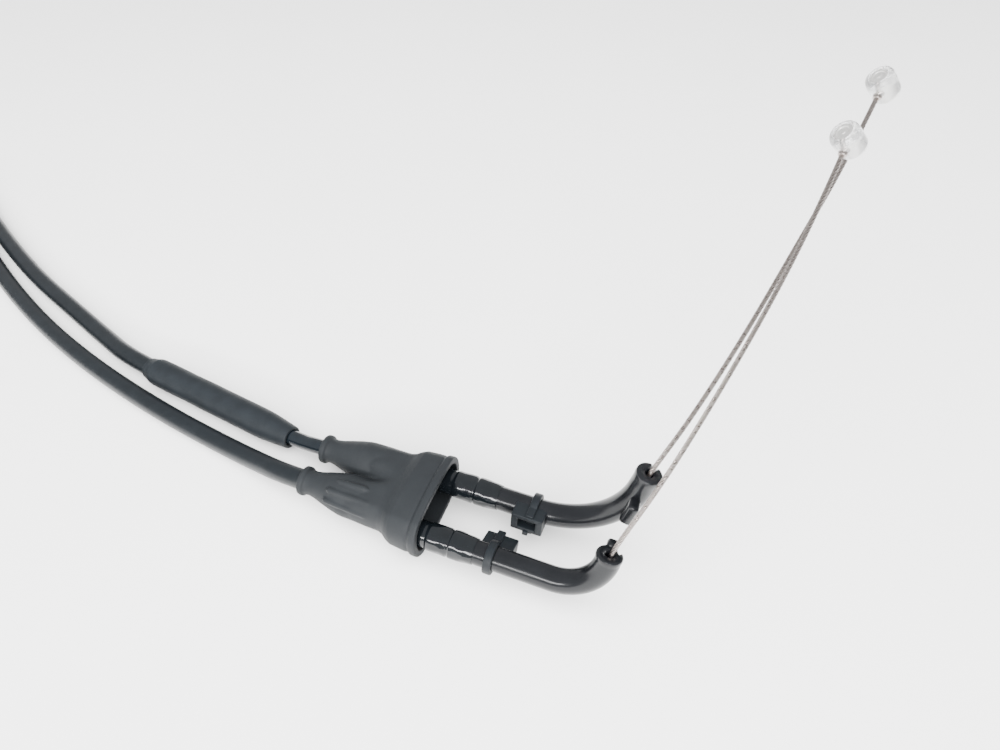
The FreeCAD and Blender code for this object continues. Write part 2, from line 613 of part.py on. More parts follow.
def cross_barrel(side, wire_points):
    """Nylon cap and metal core, lying across the end of the wire."""
    centre = CROSS_AT[side]
    last = V(*wire_points[-1])
    along = (centre - last).normalize()
    across = (CROSS_HEADING - along * CROSS_HEADING.dot(along)).normalize()
    start = centre - across * (D["cross_length"] / 2)
    blank = turned(side + "_barrel_cap_blank",
                   [("cross_chamfer", "cross_edge_r", "cross_r"), ("cross_length", "cross_r", "cross_r")],
                   [("cross_chamfer", "core_bore_r", "core_bore_r"),
                    ("cross_length", "core_bore_r", "core_bore_r")],
                   FreeCAD.Placement(start, facing(across)))
    nodes.remove(blank)
    trim = cylinder(side + "_barrel_cap_trim", "Sizes.cross_r + 1", "Sizes.cross_chamfer + 1",
                    start + across * D["cross_length"], across)
    keep(cut(side + "_barrel_cap_cut", blank, trim), side + "_barrel_cap")
    core_start = centre - across * (D["core_length"] / 2)
    turned(side + "_barrel_core", [("core_length", "core_r", "core_r")], [],
           FreeCAD.Placement(core_start, facing(across)))
    wire_end = centre - along * (D["cross_r"] + CROSS_GAP)
    frame = pull_frame if side == "pull" else return_frame
    routed(side + "_wire", [frame["tip"]] + wire_points + [wire_end], D["wire_r"])
    print("%s barrel: centre %s, wire heading %s" % (side, centre, along))


cross_barrel("pull", PULL_WIRE)
cross_barrel("return", RETURN_WIRE)

# ---- far ends: conduit tails, threaded ferrules, jam nuts, seals, wires and nipples ----------
FERRULE_AT = {"pull": V(-235.0, -37.7, D["ferrule_z"]), "return": V(-210.0, -20.7, D["ferrule_z"])}
TAIL_START = {"pull": (52.0, 240.0, 4.0), "return": (45.7, 268.0, 6.0)}
TAIL_POINTS = {"pull": [(-262.0, -28.7, 9.2), (-250.0, -34.7, 8.0), (-240.0, -37.7, D["ferrule_z"])],
               "return": [(-236.0, -20.0, 9.9), (-225.0, -20.5, 8.6), (-216.5, -20.7, D["ferrule_z"])]}
for side in ("pull", "return"):
    base = FERRULE_AT[side]
    radius, angle, run = TAIL_START[side]
    leave = on_coil(radius, angle, 10.0)
    routed(side + "_housing_tail",
           [leave + tangent(angle) * run] + TAIL_POINTS[side] + [base + X * D["ferrule_seat"]],
           D["housing_r"])
    lengths = ["ferrule_cup", "ferrule_rim", "thread_inner", "relief_width", "thread_outer",
               "ferrule_nose"]
    radii = ["ferrule_cup_r", "ferrule_rim_r", "thread_r", "relief_r", "thread_r", "ferrule_nose_r"]
    blank = turned(side + "_ferrule_blank", [(n, r, r) for n, r in zip(lengths, radii)],
                   [(n, "ferrule_bore_r", "ferrule_bore_r") for n in lengths],
                   FreeCAD.Placement(base, FreeCAD.Rotation()))
    nodes.remove(blank)
    cup = cylinder(side + "_ferrule_cup", "Sizes.ferrule_seat_r", "Sizes.ferrule_seat + 1.2", base - X, X)
    keep(cut(side + "_ferrule_cut", blank, cup), side + "_far_ferrule")
    nose = base + X * (sum(D[n] for n in lengths) - D["ferrule_nose"] + 0.1)
    turned(side + "_dust_seal",
           [("seal_grip", "seal_r", "seal_r"), ("seal_lip", "seal_r", "seal_lip_r")],
           [("seal_grip", "seal_bore_r", "seal_bore_r"),
            ("seal_lip", "seal_lip_bore_r", "seal_lip_bore_r")],
           FreeCAD.Placement(nose, FreeCAD.Rotation()))
    for which in ("inner", "outer"):
        nut_base = base + X * D["nut_%s_at" % which]
        name = "%s_%s_jam_nut" % (side, which)
        prism = doc.addObject("Part::Prism", name + "_prism")
        prism.Polygon = 6
        bind(prism, Circumradius="Sizes.nut_corner_r", Height="Sizes.nut_height")
        prism.Placement = FreeCAD.Placement(nut_base, upright(X) * FreeCAD.Rotation(V(0, 0, 1), 30))
        ball = doc.addObject("Part::Sphere", name + "_ball")
        bind(ball, Radius="Sizes.nut_ball_r")
        ball.Placement = FreeCAD.Placement(nut_base + X * (D["nut_height"] / 2), FreeCAD.Rotation())
        rounded = doc.addObject("Part::Common", name + "_rounded")
        rounded.Base = prism
        rounded.Tool = ball
        hole = cylinder(name + "_hole", "Sizes.nut_bore_r", "Sizes.nut_height + 2", nut_base - X, X)
        keep(cut(name + "_cut", rounded, hole), name)
    stub = base + X * D["stub_start"]
    wire = cylinder(side + "_far_wire_rod", "Sizes.wire_r", "Sizes.stub_length", stub, X)
    keep(wire, side + "_far_wire")
    nipple = stub + X * (D["stub_length"] + D["nipple_r"] + 0.02) - V(0, D["nipple_length"] / 2, 0)
    keep(cylinder(side + "_nipple_rod", "Sizes.nipple_r", "Sizes.nipple_length", nipple, V(0, 1, 0)),
         side + "_far_nipple")

# ---- check and write --------------------------------------------------------------------------
doc.recompute()
for thing in doc.Objects:
    if "Invalid" in thing.State or "Error" in thing.State:
        raise RuntimeError("%s failed: %s" % (thing.Label, thing.State))
os.makedirs("parts", exist_ok=True)
for thing in nodes:
    shape = thing.Shape
    if shape.isNull() or not shape.isValid() or len(shape.Solids) != 1:
        raise RuntimeError("%s: bad shape, %d solids" % (thing.Label, len(shape.Solids)))
    shape.exportStep("parts/%s.step" % thing.Label)
    box_of = shape.BoundBox
    print("%-24s %8.1f mm3  x %.1f %.1f  y %.1f %.1f  z %.1f %.1f" % (
        thing.Label, shape.Volume, box_of.XMin, box_of.XMax, box_of.YMin, box_of.YMax,
        box_of.ZMin, box_of.ZMax))
print("tips: pull %s heading %s, return %s heading %s" % (
    pull_frame["tip"], pull_frame["heading"], return_frame["tip"], return_frame["heading"]))
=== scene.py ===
import math

import bmesh
import bpy
from mathutils import Matrix, Vector, noise


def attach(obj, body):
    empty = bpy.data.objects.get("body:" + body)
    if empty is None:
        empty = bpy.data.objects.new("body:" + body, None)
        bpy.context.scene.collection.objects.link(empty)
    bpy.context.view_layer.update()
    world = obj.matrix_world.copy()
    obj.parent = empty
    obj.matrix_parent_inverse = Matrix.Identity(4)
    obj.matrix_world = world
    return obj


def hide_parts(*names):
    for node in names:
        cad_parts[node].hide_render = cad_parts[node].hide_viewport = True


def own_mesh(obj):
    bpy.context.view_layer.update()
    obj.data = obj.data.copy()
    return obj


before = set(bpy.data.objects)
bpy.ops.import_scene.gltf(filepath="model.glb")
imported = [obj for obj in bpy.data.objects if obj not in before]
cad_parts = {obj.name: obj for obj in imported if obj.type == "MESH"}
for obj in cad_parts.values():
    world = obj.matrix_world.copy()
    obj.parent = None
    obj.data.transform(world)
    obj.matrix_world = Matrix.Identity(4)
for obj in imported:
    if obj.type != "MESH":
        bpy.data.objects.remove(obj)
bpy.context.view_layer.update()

MM = 0.001
TAU = 2 * math.pi
X = Vector((1, 0, 0))


# ---- small helpers ------------------------------------------------------------------------
def mm(*point):
    """A point given in millimetres, in metres."""
    return Vector(point) * MM


def new_object(name, mesh, material):
    """Object with this mesh and material, in the scene."""
    piece = bpy.data.objects.new(name, mesh)
    bpy.context.scene.collection.objects.link(piece)
    if material:
        mesh.materials.append(material)
    return piece


def finish_piece(piece, body, *nodes):
    """Ride on a body and stand for CAD nodes, which are hidden."""
    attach(piece, body)
    if nodes:
        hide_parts(*nodes)
    return piece


def mesh_from(name, vertices, faces, smooth=True):
    """Mesh from points in metres and faces, shaded smooth or flat."""
    mesh = bpy.data.meshes.new(name)
    mesh.from_pydata([tuple(v) for v in vertices], [], faces)
    mesh.polygons.foreach_set("use_smooth", [smooth] * len(mesh.polygons))
    mesh.update()
    return mesh


def ring_around(middle, side, up, radius, steps):
    """Points of a circle round the middle, across the two given directions."""
    angles = [TAU * k / steps for k in range(steps)]
    return [middle + (side * math.cos(angle) + up * math.sin(angle)) * radius for angle in angles]


def skin(rings, closed_ends=True, closed_loop=False):
    """Faces between rings of equal size: capped at both ends, or joined end to start."""
    size = len(rings[0])
    vertices = [v for ring in rings for v in ring]
    faces = []
    count = len(rings)
    for i in range(count if closed_loop else count - 1):
        a = i * size
        b = ((i + 1) % count) * size
        for k in range(size):
            j = (k + 1) % size
            faces.append((a + k, a + j, b + j, b + k))
    if closed_ends and not closed_loop:
        faces.append(tuple(range(size))[::-1])
        faces.append(tuple((count - 1) * size + k for k in range(size)))
    return vertices, faces


def outward(mesh):
    """Make every face of a closed mesh look outward."""
    work = bmesh.new()
    work.from_mesh(mesh)
    bmesh.ops.recalc_face_normals(work, faces=work.faces)
    work.to_mesh(mesh)
    work.free()
    return mesh


def axes_for(direction):
    """Two directions across the given one."""
    direction = direction.normalized()
    side = direction.cross(Vector((0, 0, 1)))
    if side.length < 0.1:
        side = direction.cross(Vector((0, 1, 0)))
    side.normalize()
    return side, direction.cross(side).normalized()


def lathe(name, start, direction, outline, material, steps=96, shape=None):
    """Turned closed mesh.  outline: (distance, radius) in mm, round the whole section in order.
    shape(distance, angle, radius) may add to the radius, in mm."""
    direction = direction.normalized()
    side, up = axes_for(direction)
    rings = []
    for distance, radius in outline:
        ring = []
        for k in range(steps):
            angle = TAU * k / steps
            r = radius + (shape(distance, angle, radius) if shape else 0.0)
            ring.append(start + direction * (distance * MM)
                        + (side * math.cos(angle) + up * math.sin(angle)) * (r * MM))
        rings.append(ring)
    closed = outline[0][1] > 0.02 and outline[-1][1] > 0.02
    vertices, faces = skin(rings, closed_ends=not closed, closed_loop=closed)
    return new_object(name, outward(mesh_from(name, vertices, faces)), material)


def cut_fine(outline, step):
    """Extra points along an outline, no further apart lengthwise than the step, in mm."""
    fine = []
    for a, b in zip(outline, outline[1:]):
        pieces = max(1, math.ceil(abs(b[0] - a[0]) / step))
        fine += [tuple(p + (q - p) * i / pieces for p, q in zip(a, b)) for i in range(pieces)]
    fine.append(outline[-1])
    return fine


def rounded(outline, radius=0.3, steps=3):
    """Round each corner of an open outline of (distance, radius) points, in mm."""
    points = [Vector(p) for p in outline]
    result = [tuple(points[0])]
    for before, corner, after in zip(points, points[1:], points[2:]):
        reach = min(radius, 0.45 * (corner - before).length, 0.45 * (after - corner).length)
        if reach < 1e-4:
            result.append(tuple(corner))
            continue
        a = corner + (before - corner).normalized() * reach
        b = corner + (after - corner).normalized() * reach
        for i in range(steps + 1):
            share = i / steps
            result.append(tuple(a.lerp(corner, share).lerp(corner.lerp(b, share), share)))
    result.append(tuple(points[-1]))
    return result


# ---- materials ------------------------------------------------------------------------------
def material(name, color, roughness, metallic=0.0, specular=0.5, coat=0.0, coat_roughness=0.1,
             mottle=0.0, mottle_scale=900.0, bump=0.0, bump_scale=2500.0, rough_spread=0.0,
             transmission=0.0, ior=1.45, stretch=(1.0, 1.0, 1.0)):
    """Principled material with mottled colour, uneven roughness and a fine grain."""
    made = bpy.data.materials.new(name)
    made.use_nodes = True
    tree = made.node_tree
    shader = tree.nodes["Principled BSDF"]
    shader.inputs["Base Color"].default_value = (*color, 1)
    shader.inputs["Roughness"].default_value = roughness
    shader.inputs["Metallic"].default_value = metallic
    shader.inputs["Specular IOR Level"].default_value = specular
    shader.inputs["Coat Weight"].default_value = coat
    shader.inputs["Coat Roughness"].default_value = coat_roughness
    shader.inputs["Transmission Weight"].default_value = transmission
    shader.inputs["IOR"].default_value = ior
    place = tree.nodes.new("ShaderNodeTexCoord")
    scaled = tree.nodes.new("ShaderNodeMapping")
    scaled.inputs["Scale"].default_value = stretch
    tree.links.new(place.outputs["Object"], scaled.inputs["Vector"])

    def grain(scale, detail):
        node = tree.nodes.new("ShaderNodeTexNoise")
        node.inputs["Scale"].default_value = scale
        node.inputs["Detail"].default_value = detail
        tree.links.new(scaled.outputs["Vector"], node.inputs["Vector"])
        return node

    if mottle:
        blotches = grain(mottle_scale, 4)
        ramp = tree.nodes.new("ShaderNodeValToRGB")
        ramp.color_ramp.elements[0].position = 0.3
        ramp.color_ramp.elements[1].position = 0.7
        ramp.color_ramp.elements[0].color = (*[c * (1 - mottle) for c in color], 1)
        ramp.color_ramp.elements[1].color = (*[min(1, c * (1 + mottle)) for c in color], 1)
        tree.links.new(blotches.outputs["Fac"], ramp.inputs["Fac"])
        tree.links.new(ramp.outputs["Color"], shader.inputs["Base Color"])
    if rough_spread:
        smears = grain(mottle_scale * 0.6, 5)
        span = tree.nodes.new("ShaderNodeMapRange")
        span.inputs["To Min"].default_value = max(0.02, roughness - rough_spread)
        span.inputs["To Max"].default_value = roughness + rough_spread
        tree.links.new(smears.outputs["Fac"], span.inputs["Value"])
        tree.links.new(span.outputs["Result"], shader.inputs["Roughness"])
    if bump:
        fine = grain(bump_scale, 3)
        relief = tree.nodes.new("ShaderNodeBump")
        relief.inputs["Strength"].default_value = bump
        relief.inputs["Distance"].default_value = 0.0001
        tree.links.new(fine.outputs["Fac"], relief.inputs["Height"])
        tree.links.new(relief.outputs["Normal"], shader.inputs["Normal"])
    return made


BOOT_RUBBER = material("boot_rubber", (0.0120, 0.0135, 0.0150), 0.6, specular=0.25, mottle=0.06,
                       mottle_scale=260, bump=0.2, bump_scale=2600, rough_spread=0.08)
SLEEVE_RUBBER = material("sleeve_rubber", (0.0085, 0.0105, 0.0125), 0.55, specular=0.3, mottle=0.14,
                         mottle_scale=240, bump=0.3, bump_scale=2200, rough_spread=0.08)
CONDUIT = material("housing_plastic", (0.0050, 0.0065, 0.0080), 0.36, specular=0.42, mottle=0.15,
                   mottle_scale=300, bump=0.12, bump_scale=1600, rough_spread=0.08)
STEM = material("stem_plastic", (0.004, 0.006, 0.008), 0.18, specular=0.55, mottle=0.2,
                mottle_scale=400, rough_spread=0.08)
ELBOW_PLASTIC = material("elbow_plastic", (0.0045, 0.0050, 0.0060), 0.22, specular=0.4, mottle=0.15,
                         mottle_scale=200, bump=0.06, bump_scale=900, rough_spread=0.07)
MATTE_PLASTIC = material("clip_plastic", (0.0055, 0.0070, 0.0085), 0.5, specular=0.35, mottle=0.15,
                         mottle_scale=350, bump=0.2, bump_scale=2500, rough_spread=0.06)
COLLAR_PLASTIC = material("collar_plastic", (0.003, 0.004, 0.005), 0.12, specular=0.6, mottle=0.2,
                          mottle_scale=300, bump=0.25, bump_scale=700, rough_spread=0.06)
LINER = material("liner_plastic", (0.006, 0.006, 0.007), 0.45, mottle=0.1, bump=0.05)
ZINC = material("zinc_steel", (0.60, 0.60, 0.57), 0.32, metallic=1.0, mottle=0.1, mottle_scale=700,
                bump=0.1, bump_scale=3000, rough_spread=0.08)
STRAND = material("steel_strand", (0.43, 0.385, 0.36), 0.28, metallic=1.0, mottle=0.12, mottle_scale=1500,
                  rough_spread=0.08)
CORE_METAL = material("core_metal", (0.70, 0.69, 0.67), 0.3, metallic=0.8, mottle=0.06, mottle_scale=900,
                      bump=0.1, bump_scale=2500, rough_spread=0.06)
CLEAR_NYLON = material("clear_nylon", (0.98, 0.985, 0.98), 0.07, specular=0.6, mottle=0.02,
                       mottle_scale=600, rough_spread=0.03, transmission=0.88, ior=1.53, coat=1.0,
                       coat_roughness=0.04)
SEAL_RUBBER = material("seal_rubber", (0.03, 0.03, 0.032), 0.6, mottle=0.12, bump=0.25)
TIE_PLASTIC = material("tie_plastic", (0.028, 0.028, 0.03), 0.45, mottle=0.12, bump=0.15)

# ---- camera ---------------------------------------------------------------------------------
VIEW_AZIMUTH = math.radians(21)
VIEW_ELEVATION = math.radians(47)
VIEW_DISTANCE = 0.244
VIEW_TARGET = mm(23.3, 56.8, 0)
lens = bpy.data.cameras.new("camera")
lens.lens = 26.0
lens.sensor_width = 36.0
lens.clip_start = 0.005
camera = bpy.data.objects.new("camera", lens)
bpy.context.scene.collection.objects.link(camera)
bpy.context.scene.camera = camera
back = Vector((math.sin(VIEW_AZIMUTH) * math.cos(VIEW_ELEVATION),
               -math.cos(VIEW_AZIMUTH) * math.cos(VIEW_ELEVATION), math.sin(VIEW_ELEVATION)))
camera.location = VIEW_TARGET + back * VIEW_DISTANCE
camera.rotation_euler = back.to_track_quat("Z", "Y").to_euler()


# ---- cords ------------------------------------------------------------------------------------
def spline_curve(name, points, thickness=0.0, material_used=None):
    """Open NURBS curve with the route's points as its control points."""
    data = bpy.data.curves.new(name, "CURVE")
    data.dimensions = "3D"
    line = data.splines.new("NURBS")
    line.points.add(len(points) - 1)
    for knot, point in zip(line.points, points):
        knot.co = (*point, 1)
    line.order_u = 3
    line.use_endpoint_u = True
    line.resolution_u = 16
    data.bevel_depth = thickness
    data.bevel_resolution = 8
    data.use_fill_caps = thickness > 0
    piece = bpy.data.objects.new(name, data)
    bpy.context.scene.collection.objects.link(piece)
    if material_used:
        data.materials.append(material_used)
    return piece


HOUSING_D = 6.0 * MM
COIL_MIDDLE = mm(-252.0, 26.3, 0)
ENTRY_ANGLE = 64.4
LAYER_LOW = 3.9
LAYER_HIGH = 10.0
PAIR_STEP = 6.3
COIL_STEP_DEG = 24


def on_coil(radius, angle, height):
    """Point of the coil at a radius and height in mm and an angle in degrees."""
    a = math.radians(angle)
    return COIL_MIDDLE + mm(radius * math.cos(a), radius * math.sin(a), height)


def coil_turns(outer_radius, exit_angle):
    """Points of one conduit in the coil: inwards on the table, then outwards on top."""
    last = exit_angle + 720
    middle = (ENTRY_ANGLE + last) / 2
    rise = 45
    inward = 2 * PAIR_STEP / 360
    points = []
    steps = round((last - ENTRY_ANGLE) / COIL_STEP_DEG)
    for i in range(steps + 1):
        angle = ENTRY_ANGLE + (last - ENTRY_ANGLE) * i / steps
        from_middle = abs(angle - middle)
        radius = outer_radius - inward * ((last - ENTRY_ANGLE) / 2 - from_middle)
        share = min(1, max(0, (angle - middle + rise) / (2 * rise)))
        height = LAYER_LOW + (LAYER_HIGH - LAYER_LOW) * share
        # a B-spline cuts inside its points, so they stand a little further out
        points.append(on_coil(radius * 1.02, angle, height))
    return points


pull_points = ([mm(-75.2, 12.7, 4.85), mm(-93.5, 15.4, 4.75), mm(-110.0, 21.4, 3.2),
                mm(-131.0, 28.9, 3.1), mm(-157.0, 38.1, 3.1), mm(-184.0, 50.5, 3.1), mm(-206.0, 61.8, 3.4)]
               + coil_turns(52.0, 240)
               + [mm(-262.0, -28.7, 9.2), mm(-250.0, -34.7, 8.0), mm(-240.0, -37.7, 6.55),
                  mm(-227.0, -37.7, 6.55)])
return_points = ([mm(-8.0, -8.2, 8.0), mm(-18.0, -8.1, 7.6), mm(-29.0, -5.8, 4.9), mm(-43.0, -3.3, 3.1),
                  mm(-66.0, 0.2, 3.1), mm(-90.0, 5.2, 3.1), mm(-114.0, 11.6, 3.1), mm(-138.0, 19.8, 3.1),
                  mm(-162.0, 30.1, 3.1), mm(-184.0, 41.1, 3.1), mm(-206.0, 53.3, 3.8)]
                 + coil_turns(45.7, 268)
                 + [mm(-236.0, -20.0, 9.9), mm(-225.0, -20.5, 8.6), mm(-216.5, -20.7, 6.55),
                    mm(-202.0, -20.7, 6.55)])
pull_housing = spline_curve("pull_housing_cable", pull_points, HOUSING_D / 2, CONDUIT)
finish_piece(pull_housing, "root", "pull_housing", "pull_housing_tail", "cable_coil")
return_housing = spline_curve("return_housing_cable", return_points, HOUSING_D / 2, CONDUIT)
finish_piece(return_housing, "root", "return_housing", "return_housing_tail", "cable_coil")

WIRE_D = 1.3 * MM
STRANDS = 6
LAY_LENGTH = 7.5 * MM


def line_points(name, points):
    """Points along the route's NURBS line, evenly spaced."""
    guide = spline_curve(name + "_guide", points)
    bpy.context.view_layer.update()
    mesh = bpy.data.meshes.new_from_object(guide)
    line = [v.co.copy() for v in mesh.vertices]
    bpy.data.meshes.remove(mesh)
    bpy.data.objects.remove(guide)
    return line


def even(line, spacing):
    """The same line at an even spacing."""
    lengths = [0.0]
    for a, b in zip(line, line[1:]):
        lengths.append(lengths[-1] + (b - a).length)
    count = max(2, round(lengths[-1] / spacing))
    result = []
    k = 0
    for i in range(count + 1):
        at = lengths[-1] * i / count
        while k < len(lengths) - 2 and lengths[k + 1] < at:
            k += 1
        share = (at - lengths[k]) / max(lengths[k + 1] - lengths[k], 1e-12)
        result.append(line[k].lerp(line[k + 1], min(1, max(0, share))))
    return result


def carried_frames(line):
    """Direction and two crosswise directions at each point, carried along without twist."""
    frames = []
    side = None
    for i, point in enumerate(line):
        ahead = (line[min(i + 1, len(line) - 1)] - line[max(i - 1, 0)]).normalized()
        if side is None:
            side = axes_for(ahead)[0]
        side = (side - ahead * side.dot(ahead)).normalized()
        frames.append((ahead, side, ahead.cross(side)))
    return frames


def stranded(name, points, material_used):
    """A rope of wires: a core and twisted strands along the route."""
    line = even(line_points(name, points), 0.35 * MM)
    frames = carried_frames(line)
    ratio = math.sin(math.pi / STRANDS)
    strand_r = WIRE_D / 2 * ratio / (1 + ratio)
    lay_r = WIRE_D / 2 - strand_r
    sides = 7
    vertices, faces = [], []

    def add(path, radius):
        rings = [ring_around(middle, side, up, radius, sides)
                 for (ahead, side, up), middle in zip(frames, path)]
        ring_vertices, ring_faces = skin(rings)
        base = len(vertices)
        vertices.extend(ring_vertices)
        faces.extend(tuple(base + i for i in face) for face in ring_faces)

    add(line, lay_r * 0.62)
    for strand in range(STRANDS):
        path = []
        run = 0.0
        for i, (ahead, side, up) in enumerate(frames):
            if i:
                run += (line[i] - line[i - 1]).length
            angle = TAU * (strand / STRANDS + run / LAY_LENGTH)
            path.append(line[i] + (side * math.cos(angle) + up * math.sin(angle)) * lay_r)
        add(path, strand_r)
    piece = new_object(name, outward(mesh_from(name, vertices, faces)), material_used)
    return piece, line


TIP = {"pull": mm(80.38, 9.25, 34.87), "return": mm(76.48, -7.58, 21.59)}
TIP_WAY = {"pull": Vector((0.225, 0.1356, 0.9649)), "return": Vector((0.0698, 0.3412, 0.9374))}
BARREL = {"pull": mm(110.5, 110.1, 91.7), "return": mm(104.3, 83.7, 88.4)}
WIRE_ROUTE = {
    "pull": [mm(86.2, 23.3, 42.2), mm(93.4, 44.8, 54.0), mm(100.2, 68.9, 67.4), mm(106.6, 91.3, 80.0)],
    "return": [mm(84.1, 6.5, 37.2), mm(91.9, 30.4, 52.4), mm(98.4, 53.3, 67.5), mm(102.7, 73.8, 81.7)],
}
barrel_axis = {}
wires = {}
for side_name in ("pull", "return"):
    points = [TIP[side_name] - TIP_WAY[side_name] * 3 * MM, TIP[side_name]] + WIRE_ROUTE[side_name] \
        + [BARREL[side_name]]
    wire, line = stranded(side_name + "_wire_strands", points, STRAND)
    finish_piece(wire, "root", side_name + "_wire")
    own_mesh(wire)
    barrel_axis[side_name] = (BARREL[side_name] - WIRE_ROUTE[side_name][-1]).normalized()
    wires[side_name] = (wire, line)


# ---- cross barrels ----------------------------------------------------------------------------
CROSS_HEADING = Vector((-0.66, -0.78, 0.49))
CROSS_HALF = 3.8
CROSS_R = 3.7


def cross_barrel(side):
    """Clear nylon cap over a metal core, lying across the end of the wire."""
    body = side + "_barrel"
    along = barrel_axis[side]
    across = (CROSS_HEADING - along * CROSS_HEADING.dot(along)).normalized()
    middle = BARREL[side]
    half = CROSS_HALF
    outline = rounded([(-half, 2.36), (-half, 2.75), (-half + 0.45, 3.4), (-half + 1.4, CROSS_R),
                       (half - 1.4, CROSS_R), (half - 0.45, 3.4), (half, 2.75), (half, 2.36)], 0.7, 5)
    bore = [(half - 0.1, 2.3), (-half + 0.1, 2.3)]
    cap = lathe(side + "_nylon_cap", middle, across, outline + bore, CLEAR_NYLON, 96)
    finish_piece(cap, body, side + "_barrel_cap")
    left_end = [(-3.55, 0.0), (-3.55, 0.45), (-3.35, 0.55), (-3.35, 1.45), (-3.6, 1.6), (-3.6, 2.05),
                (-3.35, 2.28)]
    right_end = [(-distance, radius) for distance, radius in reversed(left_end)]
    core_line = rounded(left_end + right_end, 0.12, 3)
    core_line[0] = (core_line[0][0], 0.01)
    core_line[-1] = (core_line[-1][0], 0.01)
    core = lathe(side + "_core", middle, across, core_line, CORE_METAL, 72)
    finish_piece(core, body, side + "_barrel_core")
    # the wire goes through the cap's wall into the core
    root_line = rounded([(0.0, 0.01), (0.0, 0.95), (0.6, 1.15), (2.4, 1.15), (2.4, 0.01)], 0.2, 3)
    root = lathe(side + "_wire_root", middle - along * 4.4 * MM, along, root_line, STRAND, 40)
    finish_piece(root, body)
    return [cap, core, root]


# ---- swept tubes ------------------------------------------------------------------------------
def swept(name, stations, outside, inside, material_used, steps=64):
    """Closed tube round a line.  outside and inside give the radius in mm at each station."""
    frames = carried_frames(stations)
    rings = []
    order = [(i, outside[i]) for i in range(len(stations))]
    order += [(i, inside[i]) for i in reversed(range(len(stations)))]
    for i, radius in order:
        ahead, side, up = frames[i]
        rings.append(ring_around(stations[i], side, up, radius * MM, steps))
    vertices, faces = skin(rings, closed_loop=True)
    return new_object(name, outward(mesh_from(name, vertices, faces)), material_used)


def soft_box(name, middle, axes, size, softness, material_used, window=None):
    """Box with rounded edges.  window = (sign, length, height, depth) sinks a recess into the face
    on that side of the second axis, all in mm."""
    work = bmesh.new()
    bmesh.ops.create_cube(work, size=1.0)
    for v in work.verts:
        v.co = Vector((v.co.x * size[0], v.co.y * size[1], v.co.z * size[2]))
    if window:
        sign, length, height, depth = window
        face = max(work.faces, key=lambda f: f.calc_center_median().y * sign)
        bmesh.ops.inset_individual(work, faces=[face], thickness=0.05)
        for v in face.verts:
            v.co.x = math.copysign(length / 2, v.co.x)
            v.co.z = math.copysign(height / 2, v.co.z)
        floor = bmesh.ops.extrude_discrete_faces(work, faces=[face])["faces"][0]
        for v in floor.verts:
            v.co.y -= sign * depth
    bmesh.ops.bevel(work, geom=list(work.edges), offset=softness, segments=3, profile=0.5, affect="EDGES")
    turn = Matrix(axes).transposed()
    for v in work.verts:
        v.co = middle + turn @ (v.co * MM)
    mesh = bpy.data.meshes.new(name)
    work.to_mesh(mesh)
    work.free()
    for polygon in mesh.polygons:
        polygon.use_smooth = True
    piece = new_object(name, mesh, material_used)
    add_weighted_normals(piece)
    return piece


def add_weighted_normals(piece):
    """Let large flat faces look flat beside their rounded edges."""
    bevelled = piece.modifiers.new("faces", "WEIGHTED_NORMAL")
    bevelled.keep_sharp = True


# ---- elbows -----------------------------------------------------------------------------------
MOUTH_X = 28.0
AXIS_Z = 8.9
SEAT_X = MOUTH_X + 2.0 + 9.0 + 4.0 - 8.0
ELBOW = {
    "pull": {"y": 5.6, "straight": 18.4, "bend_r": 26.3, "bend": 77.0, "roll": 8.0, "end": 6.0,
             "fin_drop": 14.0, "fin_length": 7.0, "fin_reach": 3.9, "inner": -1,
             "block": 20.3, "reach": 6.2, "clip_roll": 8.0, "flange": 24.2},
    "return": {"y": -12.2, "straight": 28.6, "bend_r": 12.8, "bend": 86.0, "roll": 20.0, "end": 1.6,
               "fin_drop": 4.0, "fin_length": 4.8, "fin_reach": 2.8, "inner": 1,
               "block": 15.6, "reach": 7.0, "clip_roll": 25.0, "flange": 18.3},
}
TUBE_R = 3.3
BORE_R = 1.9
HOLE_R = 1.15
NOTCH_DEPTH = 1.3


def elbow_line(sizes):
    """Stations along an elbow from the collar seat to the tip, in metres."""
    roll = math.radians(sizes["roll"])
    bend = math.radians(sizes["bend"])
    up = Vector((0, math.sin(roll), math.cos(roll)))
    radius = sizes["bend_r"]
    start = Vector((SEAT_X, sizes["y"], AXIS_Z))
    bend_start = start + X * sizes["straight"]
    centre = bend_start + up * radius
    points = [start + X * (sizes["straight"] * i / 24) for i in range(24)]
    steps = 48
    for i in range(steps):
        a = bend * i / steps
        points.append(centre - up * (radius * math.cos(a)) + X * (radius * math.sin(a)))
    heading = X * math.cos(bend) + up * math.sin(bend)
    bend_end = centre - up * (radius * math.cos(bend)) + X * (radius * math.sin(bend))
    ends = [0, 0.3, 0.6, 0.75, 0.84, 0.9, 0.94, 0.97, 0.99, 1.0]
    points += [bend_end + heading * (sizes["end"] * share) for share in ends]
    return [p * MM for p in points], heading, bend_end + heading * sizes["end"]


def notch(mesh, tip, heading, wire_way):
    """Press the tip's rim down where the wire lies over it."""
    forward = (wire_way - heading * heading.dot(wire_way)).normalized()
    sideways = heading.cross(forward)
    deep = 1.6 * MM
    for v in mesh.vertices:
        from_tip = v.co - tip
        height = from_tip.dot(heading)
        if height < -deep or from_tip.dot(forward) < 0.2 * MM:
            continue
        lateral = from_tip.dot(sideways) / (0.8 * MM)
        v.co -= heading * (NOTCH_DEPTH * MM * math.exp(-lateral ** 4) * (1 + height / deep))


